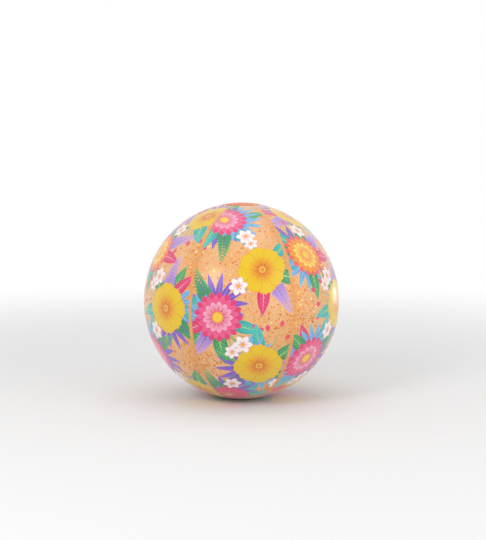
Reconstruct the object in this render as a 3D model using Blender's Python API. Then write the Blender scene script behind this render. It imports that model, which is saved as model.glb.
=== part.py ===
"""Inflatable beach ball: six welded film gores, two pole caps and a push-in valve with a tethered plug.

The ball stands on the floor at z = 0 with its poles upright. Its front gore faces -Y and its valve faces +Y.
Lengths are in metres. The ball's own geometry is worked out about its centre, and the valve's about a
seat frame whose +Z points out of the ball and whose +Y points down.
"""

import math

import bmesh
import bpy
from mathutils import Vector

# Ball: the inflated film envelope
BALL_DIAMETER = 0.400  # over the middles of opposite gores
GORE_COUNT = 6
FILM_THICKNESS = 0.00025
WELD_GAP = 0.00015  # left between layers of film that are welded together
LAP_WIDTH = 0.005  # how far each gore laps over the next one
LAP_RISE = 0.0012  # the width over which a gore steps up onto its neighbour
EDGE_CLEARANCE = 0.0003  # between a gore's plain edge and its neighbour's step
SEAM_DEPTH = 0.0015  # how far the equator is drawn in at each seam
TIP_HOLE_DIAMETER = 0.036  # left open between the gore tips at each pole
CAP_DIAMETER = 0.076  # the disc welded over the gore tips
REST_PATCH_DIAMETER = 0.050  # where the soft ball flattens on the floor
DRIFT_DIAMETER = 0.068  # the loose glitter settled inside the bottom of the ball
DRIFT_CROWN = 0.0006  # how far the heap stands above its own rim in the middle
DRIFT_EDGE = 0.0003  # the heap's thickness at its rim

# Valve: where it is welded in
VALVE_SEAT_DIAMETER = 0.046  # the stiff flange holds the film flat over this width
FILM_HOLE_DIAMETER = 0.028
FLANGE_DIAMETER = 0.044
FLANGE_BORE = 0.026
FLANGE_THICKNESS = 0.0006

# Valve: the stem, pushed in as it is stored
STEM_DIAMETER = 0.011
STEM_BORE = 0.007
STEM_LENGTH = 0.0128
STEM_RIM_DIAMETER = 0.014
STEM_RIM_THICKNESS = 0.0018
STEM_RIM_RECESS = 0.0012  # the rim below the film's outer face
STEM_FOOT_DIAMETER = 0.0132
STEM_FOOT_THICKNESS = 0.0014
HINGE_EAR_WIDTH = 0.0050
HINGE_EAR_THICKNESS = 0.0012

# Valve: the thin skirt that lets the stem travel
SKIRT_THICKNESS = 0.0004
SKIRT_DEPTH = 0.0070  # how far the skirt's fold hangs below its two edges
SKIRT_ATTACH_DEPTH = 0.0038  # where the skirt joins the stem, below the rim's top

# Valve: the plug, its strap and the check flap
PLUG_CAP_DIAMETER = 0.0135
PLUG_CAP_THICKNESS = 0.0016
PLUG_STUB_LENGTH = 0.0040
PLUG_STUB_CLEARANCE = 0.00015
PLUG_TAB_REACH = 0.0095  # from the valve's axis to the tab's end
PLUG_TAB_WIDTH = 0.0050
PLUG_TAB_THICKNESS = 0.0009
STRAP_REACH = 0.0108  # from the valve's axis to the strap's hinge line
STRAP_WIDTH = 0.0044
STRAP_THICKNESS = 0.0009
FLAP_DIAMETER = 0.0098
FLAP_THICKNESS = 0.0005
FLAP_HINGE_REACH = 0.0060  # from the valve's axis to the flap's hinge line
FLAP_LUG_WIDTH = 0.0046
SEAT_GAP = 0.0003  # between pieces that rest on each other

# Faceting
GORE_ROWS = 22  # between the edges of the two pole caps
GORE_STRIPS = 6  # across a gore, between its laps
CAP_SECTORS = 36
CAP_RINGS = 3
VALVE_SECTORS = 32
SKIRT_SECTORS = 24
SKIRT_POINTS = 9
STUB_POINTS = 5
KNUCKLE_POINTS = 7
DRIFT_RINGS = 4

# Worked out from the sizes above
BALL_RADIUS = BALL_DIAMETER / 2
GORE_ANGLE = 2 * math.pi / GORE_COUNT
FRONT = -math.pi / 2  # the longitude that faces -Y
FIRST_SEAM = FRONT - GORE_ANGLE / 2
TIP_ANGLE = math.asin(TIP_HOLE_DIAMETER / BALL_DIAMETER)
CAP_ANGLE = math.asin(CAP_DIAMETER / BALL_DIAMETER)
PATCH_ANGLE = math.asin(REST_PATCH_DIAMETER / BALL_DIAMETER)
PATCH_DROP = BALL_RADIUS * math.cos(PATCH_ANGLE)  # from the ball's centre to the flattened film
LAP_LIFT = FILM_THICKNESS + WELD_GAP
CAP_LIFT = 2 * LAP_LIFT
CENTRE_HEIGHT = PATCH_DROP + CAP_LIFT
SEAT_DISTANCE = math.sqrt(BALL_RADIUS**2 - (VALVE_SEAT_DIAMETER / 2) ** 2)
RIM_LEVEL = -STEM_RIM_RECESS
FOOT_LEVEL = RIM_LEVEL - STEM_LENGTH
PLUG_LEVEL = RIM_LEVEL + SEAT_GAP  # the underside of the plug's cap
STRAP_LEVEL = PLUG_LEVEL + STRAP_THICKNESS / 2
FLAP_LEVEL = FOOT_LEVEL - SEAT_GAP - FLAP_THICKNESS / 2
ROUNDING = 1e-9

GORE_NAMES = (
    "front_gore",
    "front_right_gore",
    "back_right_gore",
    "back_gore",
    "back_left_gore",
    "front_left_gore",
)
VALVE_GORE = "back_gore"

PEACH_FILM = (0.84, 0.46, 0.21)
CLEAR_VINYL = (0.86, 0.80, 0.72)
GOLD_GLITTER = (0.78, 0.36, 0.07)


def clear_scene():
    for found in list(bpy.data.objects):
        bpy.data.objects.remove(found)


def material(name, colour, roughness, metallic=0.0):
    made = bpy.data.materials.new(name)
    made.use_nodes = True
    shader = made.node_tree.nodes["Principled BSDF"]
    shader.inputs["Base Color"].default_value = (*colour, 1.0)
    shader.inputs["Roughness"].default_value = roughness
    shader.inputs["Metallic"].default_value = metallic
    made.diffuse_color = (*colour, 1.0)
    return made


def frame(name, parent=None, location=(0, 0, 0), rotation=(0, 0, 0)):
    """An empty that carries other pieces."""
    empty = bpy.data.objects.new(name, None)
    bpy.context.collection.objects.link(empty)
    empty.parent = parent
    empty.location = location
    empty.rotation_euler = rotation
    return empty


def piece(name, shape, finish, parent, offset=(0, 0, 0)):
    """Turns a bmesh into a named object, with smooth faces and its creases kept sharp."""
    mesh = bpy.data.meshes.new(name)
    shape.to_mesh(mesh)
    shape.free()
    mesh.shade_smooth()
    mesh.set_sharp_from_angle(angle=math.radians(35))
    mesh.materials.append(finish)
    made = bpy.data.objects.new(name, mesh)
    bpy.context.collection.objects.link(made)
    made.parent = parent
    made.location = offset
    return made


def helper(made):
    """Marks an object as a tool for a Boolean, which is no piece of the ball."""
    made.hide_render = True
    made.display_type = "WIRE"
    return made


def combine(made, tool, operation):
    boolean = made.modifiers.new(tool.name, "BOOLEAN")
    boolean.operation = operation
    boolean.solver = "EXACT"
    boolean.object = helper(tool)


def thicken(made, thickness):
    """Gives a surface its film thickness, inwards from the outer face."""
    solidify = made.modifiers.new("film", "SOLIDIFY")
    solidify.thickness = thickness
    solidify.offset = -1
    solidify.use_even_offset = True


# Film envelope


def seam_share(longitude):
    """0 along a gore's middle and 1 along its seams."""
    turns = (longitude - FIRST_SEAM) / GORE_ANGLE
    across = 2 * (turns - math.floor(turns)) - 1
    return across * across


def film_point(polar, longitude, lift):
    """A point of the inflated film about the ball's centre, lifted off the film's outer face."""
    drawn_in = SEAM_DEPTH * seam_share(longitude) * math.sin(polar) ** 2
    radius = BALL_RADIUS - drawn_in + lift
    height = radius * math.cos(polar)
    if polar >= math.pi - PATCH_ANGLE - ROUNDING:
        height = -(PATCH_DROP + lift)
    across = radius * math.sin(polar)
    return Vector((across * math.cos(longitude), across * math.sin(longitude), height))


def gore_rows():
    """Polar angles of a gore's rows, from tip to tip, with one along each cap's edge and the rest patch's."""
    step = (math.pi - 2 * CAP_ANGLE) / GORE_ROWS
    rows = [CAP_ANGLE + step * i for i in range(GORE_ROWS + 1)]
    rows += [TIP_ANGLE, math.pi - TIP_ANGLE]
    if PATCH_ANGLE > TIP_ANGLE:
        rows.append(math.pi - PATCH_ANGLE)
    return sorted(rows)


def gore_columns(middle, polar):
    """(longitude, lift) of a gore's columns, from its plain edge to the free edge of its lap."""
    ring_radius = BALL_RADIUS * math.sin(polar)
    west = middle - GORE_ANGLE / 2
    east = middle + GORE_ANGLE / 2
    lap = LAP_WIDTH / ring_radius
    first = west + lap
    last = east - LAP_RISE / ring_radius
    columns = [(west + EDGE_CLEARANCE / ring_radius, 0)]
    columns += [(first + (last - first) * i / GORE_STRIPS, 0) for i in range(GORE_STRIPS + 1)]
    columns += [(east, LAP_LIFT), (east + lap, LAP_LIFT)]
    return columns


def gore_surface(middle):
    shape = bmesh.new()
    rows = []
    for polar in gore_rows():
        points = [film_point(polar, longitude, lift) for longitude, lift in gore_columns(middle, polar)]
        rows.append([shape.verts.new(point) for point in points])
    for upper, lower in zip(rows, rows[1:]):
        for corners in zip(upper, lower, lower[1:], upper[1:]):
            shape.faces.new(corners)
    return shape


def ring(shape, radius, distance):
    """A ring of points square to the valve's axis, at a distance from the ball's centre."""
    turn = 2 * math.pi / VALVE_SECTORS
    return [
        shape.verts.new((radius * math.cos(turn * i), distance, radius * math.sin(turn * i)))
        for i in range(VALVE_SECTORS)
    ]


def open_for_valve(shape):
    """Replaces the film round the valve by a flat seat with a hole in it."""
    seat_radius = VALVE_SEAT_DIAMETER / 2
    reach = seat_radius + LAP_WIDTH / 2
    covered = [v for v in shape.verts if math.hypot(v.co.x, v.co.z) < reach]
    faces = {face for vert in covered for face in vert.link_faces}
    border = {edge for face in faces for edge in face.edges if not set(edge.verts) & set(covered)}
    bmesh.ops.delete(shape, geom=covered, context="VERTS")
    seat = ring(shape, seat_radius, SEAT_DISTANCE)
    seat_edges = [shape.edges.new(pair) for pair in zip(seat, seat[1:] + seat[:1])]
    bmesh.ops.bridge_loops(shape, edges=[*border, *seat_edges])
    hole = ring(shape, FILM_HOLE_DIAMETER / 2, SEAT_DISTANCE)
    for corners in zip(seat, seat[1:] + seat[:1], hole[1:] + hole[:1], hole):
        shape.faces.new(corners)
    bmesh.ops.recalc_face_normals(shape, faces=shape.faces[:])


def make_gores(parent, finish):
    for i, name in enumerate(GORE_NAMES):
        shape = gore_surface(FRONT + GORE_ANGLE * i)
        if name == VALVE_GORE:
            open_for_valve(shape)
        thicken(piece(name, shape, finish, parent), FILM_THICKNESS)


def cap_surface(polar_angles):
    """A disc of film over a pole, from the pole outwards through the polar angles given."""
    shape = bmesh.new()
    pole = shape.verts.new(film_point(polar_angles[0], FRONT, CAP_LIFT))
    turn = 2 * math.pi / CAP_SECTORS
    rings = []
    for polar in polar_angles[1:]:
        points = [film_point(polar, FRONT + turn * i, CAP_LIFT) for i in range(CAP_SECTORS)]
        rings.append([shape.verts.new(point) for point in points])
    for pair in zip(rings[0], rings[0][1:] + rings[0][:1]):
        shape.faces.new((pole, *pair))
    for inner, outer in zip(rings, rings[1:]):
        for corners in zip(inner, outer, outer[1:] + outer[:1], inner[1:] + inner[:1]):
            shape.faces.new(corners)
    return shape


def make_pole_caps(parent, finish):
    rings = {CAP_ANGLE * i / CAP_RINGS for i in range(CAP_RINGS + 1)}
    top = sorted(rings)
    thicken(piece("top_pole_cap", cap_surface(top), finish, parent), FILM_THICKNESS)
    under = sorted(rings | {PATCH_ANGLE} if PATCH_ANGLE < CAP_ANGLE else rings)
    bottom = cap_surface([math.pi - polar for polar in under])
    bmesh.ops.reverse_faces(bottom, faces=bottom.faces[:])
    thicken(piece("bottom_pole_cap", bottom, finish, parent), FILM_THICKNESS)


def make_glitter_drift(parent, finish):
    """The shallow heap of loose flakes that lies on the film inside the bottom of the ball."""
    inside = BALL_RADIUS - FILM_THICKNESS - SEAT_GAP
    floor = -(PATCH_DROP - FILM_THICKNESS - SEAT_GAP)
    rim = DRIFT_DIAMETER / 2
    patch = min(REST_PATCH_DIAMETER / 2, rim)
    steps = [i / DRIFT_RINGS for i in range(DRIFT_RINGS + 1)]

    def bed(radius):
        return max(floor, -math.sqrt(inside**2 - radius**2)) if radius > patch else floor

    top = bed(rim) + DRIFT_EDGE
    crown = [(rim * s, top + DRIFT_CROWN * (1 - s * s)) for s in steps]
    under = [(patch + (rim - patch) * s, bed(patch + (rim - patch) * s)) for s in reversed(steps)]
    shape = turned([*crown, *under, (0, floor)], CAP_SECTORS)
    piece("glitter_drift", shape, finish, parent)


# Turned and plate shapes for the valve


def turned(profile, sectors, closed=False):
    """Spins (radius, height) points about Z. An open profile starts and ends on the axis."""
    shape = bmesh.new()
    verts = [shape.verts.new((radius, 0, height)) for radius, height in profile]
    pairs = list(zip(verts, verts[1:]))
    if closed:
        pairs.append((verts[-1], verts[0]))
    edges = [shape.edges.new(pair) for pair in pairs]
    bmesh.ops.spin(
        shape,
        geom=[*verts, *edges],
        axis=(0, 0, 1),
        cent=(0, 0, 0),
        angle=2 * math.pi,
        steps=sectors,
        use_merge=True,
    )
    bmesh.ops.remove_doubles(shape, verts=shape.verts[:], dist=1e-6)
    bmesh.ops.recalc_face_normals(shape, faces=shape.faces[:])
    return shape


def knuckle_plate(start, end, width, thickness, level):
    """A flat plate along Y at a level, from a square start to a round knuckle about the line at its end."""
    shape = bmesh.new()
    half = thickness / 2
    way = 1 if end > start else -1
    angles = [math.pi / 2 - math.pi * i / (KNUCKLE_POINTS - 1) for i in range(KNUCKLE_POINTS)]
    outline = [(start, level - half), (start, level + half)]
    outline += [(end + way * half * math.cos(a), level + half * math.sin(a)) for a in angles]
    side = [shape.verts.new((-width / 2, y, z)) for y, z in outline]
    made = bmesh.ops.extrude_face_region(shape, geom=[shape.faces.new(side)])
    far_side = [v for v in made["geom"] if isinstance(v, bmesh.types.BMVert)]
    bmesh.ops.translate(shape, vec=(width, 0, 0), verts=far_side)
    bmesh.ops.recalc_face_normals(shape, faces=shape.faces[:])
    return shape


# Valve


def make_flange(parent, finish):
    top = -FILM_THICKNESS - WELD_GAP
    bottom = top - FLANGE_THICKNESS
    outer = FLANGE_DIAMETER / 2
    inner = FLANGE_BORE / 2
    profile = [(inner, top), (outer, top), (outer, bottom), (inner, bottom)]
    piece("valve_flange", turned(profile, VALVE_SECTORS, closed=True), finish, parent)


def make_skirt(parent, finish):
    """A folded ring of thin vinyl between the flange's bore and the stem, like a rolling diaphragm."""
    outer = FLANGE_BORE / 2 - SEAT_GAP - SKIRT_THICKNESS / 2
    inner = STEM_DIAMETER / 2 + SEAT_GAP + SKIRT_THICKNESS / 2
    outer_level = -FILM_THICKNESS - WELD_GAP - FLANGE_THICKNESS / 2
    inner_level = RIM_LEVEL - SKIRT_ATTACH_DEPTH

    def fold(grown):
        """The fold's section, grown to one side of its middle line."""
        reach = (outer - inner) / 2 + grown
        for i in range(SKIRT_POINTS):
            share = i / (SKIRT_POINTS - 1)
            turn = math.pi * share
            radius = (outer + inner) / 2 + reach * math.cos(turn)
            level = outer_level + (inner_level - outer_level) * share
            yield radius, level - (SKIRT_DEPTH + grown) * math.sin(turn)

    half = SKIRT_THICKNESS / 2
    profile = [*fold(half), *reversed(list(fold(-half)))]
    piece("valve_skirt", turned(profile, SKIRT_SECTORS, closed=True), finish, parent)


def make_stem(parent, finish):
    bore = STEM_BORE / 2
    wall = STEM_DIAMETER / 2
    rim = STEM_RIM_DIAMETER / 2
    foot = STEM_FOOT_DIAMETER / 2
    profile = [
        (bore, RIM_LEVEL),
        (rim, RIM_LEVEL),
        (rim, RIM_LEVEL - STEM_RIM_THICKNESS),
        (wall, RIM_LEVEL - STEM_RIM_THICKNESS),
        (wall, FOOT_LEVEL + STEM_FOOT_THICKNESS),
        (foot, FOOT_LEVEL + STEM_FOOT_THICKNESS),
        (foot, FOOT_LEVEL),
        (bore, FOOT_LEVEL),
    ]
    stem = piece("valve_stem", turned(profile, VALVE_SECTORS, closed=True), finish, parent)
    ear_start = (bore + rim) / 2
    ear_level = RIM_LEVEL - HINGE_EAR_THICKNESS / 2 - SEAT_GAP
    ear = knuckle_plate(ear_start, STRAP_REACH, HINGE_EAR_WIDTH, HINGE_EAR_THICKNESS, ear_level)
    combine(stem, piece("hinge_ear_tool", ear, finish, parent), "UNION")


def stub_radius(level):
    """The widest stub that swings out of the bore about the strap's hinge line."""
    rim_drop = STRAP_LEVEL - RIM_LEVEL
    reach = STRAP_REACH + STEM_BORE / 2
    drop = STRAP_LEVEL - level
    return math.sqrt(reach**2 + rim_drop**2 - drop**2) - STRAP_REACH - PLUG_STUB_CLEARANCE


def make_plug(hinge, finish):
    cap = PLUG_CAP_DIAMETER / 2
    top = PLUG_LEVEL + PLUG_CAP_THICKNESS
    end = RIM_LEVEL - PLUG_STUB_LENGTH
    levels = [RIM_LEVEL + (end - RIM_LEVEL) * i / (STUB_POINTS - 1) for i in range(STUB_POINTS)]
    stub = [(stub_radius(level), level) for level in levels]
    profile = [(0, top), (cap, top), (cap, PLUG_LEVEL), (stub[0][0], PLUG_LEVEL), *stub, (0, end)]
    back = -hinge.location
    plug = piece("valve_plug", turned(profile, VALVE_SECTORS), finish, hinge, back)
    tab_level = PLUG_LEVEL + PLUG_CAP_THICKNESS / 2
    tab = knuckle_plate(-cap / 2, -PLUG_TAB_REACH, PLUG_TAB_WIDTH, PLUG_TAB_THICKNESS, tab_level)
    combine(plug, piece("plug_tab_tool", tab, finish, hinge, back), "UNION")


def make_strap(hinge, finish):
    back = -hinge.location
    plate = knuckle_plate(0, STRAP_REACH, STRAP_WIDTH, STRAP_THICKNESS, STRAP_LEVEL)
    strap = piece("plug_strap", plate, finish, hinge, back)
    clear = PLUG_CAP_DIAMETER / 2 + SEAT_GAP
    above = STRAP_LEVEL + STRAP_THICKNESS
    below = STRAP_LEVEL - STRAP_THICKNESS
    cutter = turned([(0, above), (clear, above), (clear, below), (0, below)], VALVE_SECTORS)
    combine(strap, piece("strap_cutter", cutter, finish, hinge, back), "DIFFERENCE")


def make_check_flap(hinge, finish):
    back = -hinge.location
    disc = FLAP_DIAMETER / 2
    top = FLAP_LEVEL + FLAP_THICKNESS / 2
    bottom = FLAP_LEVEL - FLAP_THICKNESS / 2
    profile = [(0, top), (disc, top), (disc, bottom), (0, bottom)]
    flap = piece("check_flap", turned(profile, VALVE_SECTORS), finish, hinge, back)
    lug = knuckle_plate(-disc / 2, -FLAP_HINGE_REACH, FLAP_LUG_WIDTH, FLAP_THICKNESS, FLAP_LEVEL)
    combine(flap, piece("flap_lug_tool", lug, finish, hinge, back), "UNION")


def main():
    clear_scene()
    film = material("peach_film", PEACH_FILM, 0.25)
    vinyl = material("clear_vinyl", CLEAR_VINYL, 0.35)
    glitter = material("gold_glitter", GOLD_GLITTER, 0.3, metallic=0.8)

    ball = frame("ball", location=(0, 0, CENTRE_HEIGHT))
    make_gores(ball, film)
    make_pole_caps(ball, film)
    make_glitter_drift(ball, glitter)

    seat = frame("valve_seat", ball, (0, SEAT_DISTANCE, 0), (-math.pi / 2, 0, 0))
    make_flange(seat, vinyl)
    make_skirt(seat, vinyl)
    make_stem(seat, vinyl)
    plug_hinge = frame("plug_hinge", seat, (0, STRAP_REACH, STRAP_LEVEL))
    make_plug(plug_hinge, vinyl)
    make_strap(plug_hinge, vinyl)
    flap_hinge = frame("flap_hinge", seat, (0, -FLAP_HINGE_REACH, FLAP_LEVEL))
    make_check_flap(flap_hinge, vinyl)


main()
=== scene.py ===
import math
from collections import namedtuple
from functools import partial

import bmesh
import bpy
import numpy as np
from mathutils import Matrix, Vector, kdtree
from mathutils.bvhtree import BVHTree
from mathutils.geometry import delaunay_2d_cdt


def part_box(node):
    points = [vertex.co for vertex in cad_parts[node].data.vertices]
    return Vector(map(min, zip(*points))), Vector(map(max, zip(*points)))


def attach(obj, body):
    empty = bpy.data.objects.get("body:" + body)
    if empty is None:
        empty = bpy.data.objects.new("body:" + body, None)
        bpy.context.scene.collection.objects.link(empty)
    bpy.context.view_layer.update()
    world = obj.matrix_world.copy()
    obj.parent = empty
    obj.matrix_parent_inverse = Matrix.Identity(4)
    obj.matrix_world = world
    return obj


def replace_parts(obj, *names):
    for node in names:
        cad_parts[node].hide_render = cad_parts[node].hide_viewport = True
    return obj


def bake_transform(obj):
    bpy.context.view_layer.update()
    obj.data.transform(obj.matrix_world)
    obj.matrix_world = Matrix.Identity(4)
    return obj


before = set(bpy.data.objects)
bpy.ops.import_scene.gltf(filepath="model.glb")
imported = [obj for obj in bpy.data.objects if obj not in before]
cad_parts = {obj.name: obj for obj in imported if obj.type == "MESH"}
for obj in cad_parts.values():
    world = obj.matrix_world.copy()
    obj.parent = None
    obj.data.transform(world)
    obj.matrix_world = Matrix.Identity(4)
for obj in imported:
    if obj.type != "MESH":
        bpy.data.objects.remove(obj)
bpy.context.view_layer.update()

# Lengths here are in millimetres about the ball's centre. METRE scales them to the frame, and
# CENTRE puts them in it.
METRE = 0.001

# Sizes read from the CAD solids
RADIUS = -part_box("front_gore")[0].y / METRE
CENTRE = Vector((0, 0, sum(corner.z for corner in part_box("valve_flange")) / 2))
FLANGE_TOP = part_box("valve_flange")[1].y / METRE
CAP_TOP = (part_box("top_pole_cap")[1].z - CENTRE.z) / METRE
CAP_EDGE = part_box("top_pole_cap")[1].y / METRE
DRIFT_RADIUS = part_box("glitter_drift")[1].x / METRE

# Film
GORE_NAMES = (
    "front_gore",
    "front_right_gore",
    "back_right_gore",
    "back_gore",
    "back_left_gore",
    "front_left_gore",
)
VALVE_GORE = GORE_NAMES.index("back_gore")
GORE_ANGLE = 2 * math.pi / len(GORE_NAMES)
FRONT = -math.pi / 2
FIRST_SEAM = FRONT - GORE_ANGLE / 2
FILM = 0.25
WELD_GAP = 0.15
LAP_LIFT = FILM + WELD_GAP
PATCH_DROP = (CENTRE.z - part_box("front_gore")[0].z) / METRE - LAP_LIFT
LAP_WIDTH = 5.0
LAP_RISE = 1.2
EDGE_CLEARANCE = 0.3
SEAM_DEPTH = 1.5
TIP_REACH = RADIUS * math.acos(18 / RADIUS)  # from the equator to a gore's tip, along the film
PUCKER_HEIGHT = 0.5
PUCKER_PITCH = 11.0
PUCKER_REACH = 9.0  # how far from the seam the puckers fade
SEAT_RADIUS = 23.0
SEAT_SOFTNESS = 1.2
SEAT_DISTANCE = FLANGE_TOP + LAP_LIFT
FILM_HOLE = 14.0
RING_WELD = (15.0, 21.0)  # the valve's ring weld, from and to these radii
RING_WELD_PITCH = 1.5
RING_WELD_HEIGHT = 0.1

# Mesh spacing
ROW_STEP = 3.0
FIELD_STEP = 7.0
SEAM_OFFSETS = (2.2, 5.0, 8.0, 12.0, 17.0, 23.0)
INK_STEP = 4.5  # longest side of a printed outline
CLEAR_OF_INK = 1.2  # plain mesh points keep this far from printed outlines
PRINT_MARGIN = 2.2  # bare film along each seam
PRINT_REACH = 279.0
PRINT_KNOCKOUT = 25.0  # bare film round the valve's centre

# Pole discs
CAP_LIFT = CAP_TOP - RADIUS
TIP_HOLE = 18.0
CAP_SETTLE = 0.4  # how far a disc settles onto the tips between the laps
CAP_EASE = 1.5
CAP_WELD = (31.0, 37.4)
CAP_WELD_PITCH = 1.6
CAP_WELD_HEIGHT = 0.14
CAP_SECTORS = 192

# Glitter
SEED = 11
FLAKE_THICKNESS = 0.05
FLAKE_LEAN = 0.35  # how far a flake's shine leans off the film, in radians
FLAKE_RADII = (0.5, 2.2)
FLAKES_PER_GORE = 4800
SEAM_FLAKES = 0.2  # share of the flakes that gather by the seams
CAP_FLAKES = 130
DRIFT_FLAKES = 1800
DRIFT_CROWN = 1.2

# Bake map: a gore's flat cut, its inner face beside it
BAKE_MAP = "OFBake"
MAP_CORNER = np.array((112.0, 300.0))
MAP_SIZE = 650.0
MAP_INNER = np.array((0.36, 0.0))
MAP_EDGE = np.array((0.75, 0.75, 0.76, 0.76))

# Valve, with levels from the film's outer face
VALVE_SECTORS = 72
FLANGE_RADII = (13.0, 22.0)
FLANGE_THICKNESS = 0.6
SKIRT_TOP = -0.7
SKIRT_END = -5.0
SKIRT_DEPTH = 7.0
SKIRT_THICKNESS = 0.4
STEM_BORE = 3.5
STEM_WALL = 5.5
RIM_RADIUS = 7.0
RIM_TOP = -1.2
RIM_THICKNESS = 1.8
FOOT_RADIUS = 6.6
FOOT_LOW = -14.0
EAR_WIDTH = 5.0
HINGE_REACH = 10.8
PLUG_RADIUS = 6.75
PLUG_LOW = -0.9
PLUG_THICKNESS = 1.6
STUB_LENGTH = 4.0
STUB_ROOT = 3.2
STUB_TIP = 2.75
TAB_REACH = 9.9
TAB_WIDTH = 5.0
STRAP_MIDDLE = -0.45
STRAP_THICKNESS = 0.9
STRAP_WIDTH = 4.4
FLAP_RADIUS = 4.9
FLAP_MIDDLE = -14.55
FLAP_REACH = 6.0

# Looks, with colours in linear RGB
PEACH_PALE = (0.95, 0.56, 0.27, 1)
PEACH_DEEP = (0.93, 0.49, 0.20, 1)
PEACH_SEAM = (0.88, 0.37, 0.09, 1)
SEAM_TINT_REACH = 15.0
ORANGE_PALE = (0.90, 0.18, 0.018, 1)
ORANGE_DEEP = (0.87, 0.15, 0.012, 1)
ORANGE_WELD = (0.95, 0.33, 0.07, 1)
VINYL_PALE = (0.90, 0.85, 0.78, 1)
VINYL_DEEP = (0.87, 0.80, 0.71, 1)
FOIL_SHADES = (
    (0.0, (0.86, 0.42, 0.10, 1)),
    (1.0, (0.93, 0.66, 0.28, 1)),
    (0.35, (0.84, 0.25, 0.03, 1)),
    (0.7, (0.66, 0.17, 0.03, 1)),
)
SPECK_SHARE = 0.8
DEEP_SPECKS = (270, 0.40, (0.84, 0.29, 0.04, 1))
FINE_SPECKS = (420, 0.36, (0.98, 0.72, 0.42, 1))
CAP_SPECKS = (380, 0.34, (0.92, 0.32, 0.06, 1))
FILM_ROUGHNESS = 0.22
FILM_GLOSS = (0.3, 0.28)  # specular level and sheen
CAP_GLOSS = (0.14, 0.0)
FILM_CLEAR = 0.2
INK_CLEAR = 0.02
WELD_RIB = 1.4

# Studio, in metres
FLOOR_COLOUR = (0.86, 0.86, 0.86, 1)
FLOOR_RADIUS = 9.0
FLOOR_FADE = (0.7, 2.2)
WORLD_LIGHT = 0.7
LAMPS = {
    "key": ((-1.5, -2.0, 1.7), (0.9, 0.9), 22),
    "fill": ((1.9, -1.5, 0.9), (1.8, 1.8), 15),
    "top": ((0.0, 0.2, 2.6), (2.0, 2.0), 8),
    "right_strip": ((1.5, 1.6, 0.10), (0.084, 0.2), 2.1),
}
CAMERA_DISTANCE = 2.6
CAMERA_RISE = 7.0
CAMERA_LENS = 84.7
SENSOR = 36.0
FRAME_SIZE = (486, 540)
BALL_PIXEL = (241.5, 300.7)


# Print: shades and plain shapes

SHADES = {
    "crimson": "#CF1552",
    "hot_pink": "#E23A74",
    "pink": "#E85E8E",
    "pale_pink": "#F4A9C2",
    "yellow": "#E6C00E",
    "light_yellow": "#F7D75F",
    "amber": "#EE9F1C",
    "orange": "#EA6D1C",
    "rust": "#B4481C",
    "white": "#F3EEE7",
    "teal": "#45C4BA",
    "deep_teal": "#1C8F92",
    "green": "#48AB6A",
    "deep_green": "#207A4E",
    "light_green": "#A9D97F",
    "violet": "#8B62CB",
    "deep_violet": "#5C45AC",
    "lavender": "#CBA6E2",
    "blue": "#4F74D0",
    "sky": "#6FC0E2",
    "coral": "#EF5B57",
}
Ink = namedtuple("Ink", "outline centre reach inner outer")
Sheet = namedtuple("Sheet", "flat triangles patches")


def shade(name):
    """A named shade as linear RGB."""
    parts = np.array([int(SHADES[name][i : i + 2], 16) / 255 for i in (1, 3, 5)])
    return np.where(parts <= 0.04045, parts / 12.92, ((parts + 0.055) / 1.055) ** 2.4)


def divided(outline):
    """The outline with its long sides cut short, so that they follow the film's curve."""
    outline = np.asarray(outline)
    following = np.roll(outline, -1, 0)
    counts = np.ceil(np.linalg.norm(following - outline, axis=1) / INK_STEP).astype(int).clip(1)
    return np.concatenate([a + (b - a) * np.arange(n)[:, None] / n for a, b, n in zip(outline, following, counts)])


def ink(outline, centre, reach, inner, outer=None):
    """One printed patch, shaded from its inner shade at the centre to its outer one at the reach."""
    return Ink(divided(outline), np.asarray(centre), reach, shade(inner), shade(outer or inner))


def heading(turn):
    return np.array((math.cos(turn), math.sin(turn)))


def placed(outline, at, turn):
    c, s = math.cos(turn), math.sin(turn)
    return np.asarray(outline) @ np.array(((c, s), (-s, c))) + at


def blade(length, width, fullness=1.0, blunt=1.0, bend=0.0, steps=10):
    """A petal or leaf along +X. Fullness above 1 moves its widest place to the tip, and blunt below 1 rounds it."""
    t = (1 - np.cos(np.linspace(0, math.pi, steps + 1))) / 2
    half = width / 2 * np.sin(math.pi * t**fullness).clip(0) ** blunt
    half[0] = half[-1] = 0
    middle = bend * length * t * t
    upper = np.stack((length * t, middle + half), 1)
    lower = np.stack((length * t, middle - half), 1)
    return np.concatenate((lower, upper[-2:0:-1]))


def bent(length, bend, share):
    """Place and heading at a share of a blade's middle line."""
    return np.array((length * share, bend * length * share**2)), math.atan2(2 * bend * share, 1)


def disc(at, radius, steps=16):
    turn = np.linspace(0, 2 * math.pi, steps, endpoint=False)
    return at + radius * np.stack((np.cos(turn), np.sin(turn)), 1)


def dots(at, ring, radius, count, colour):
    for i in range(count):
        spot = at + ring * heading(2 * math.pi * i / count)
        yield ink(disc(spot, radius, 7), spot, radius, colour)


# Print: flowers


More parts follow.
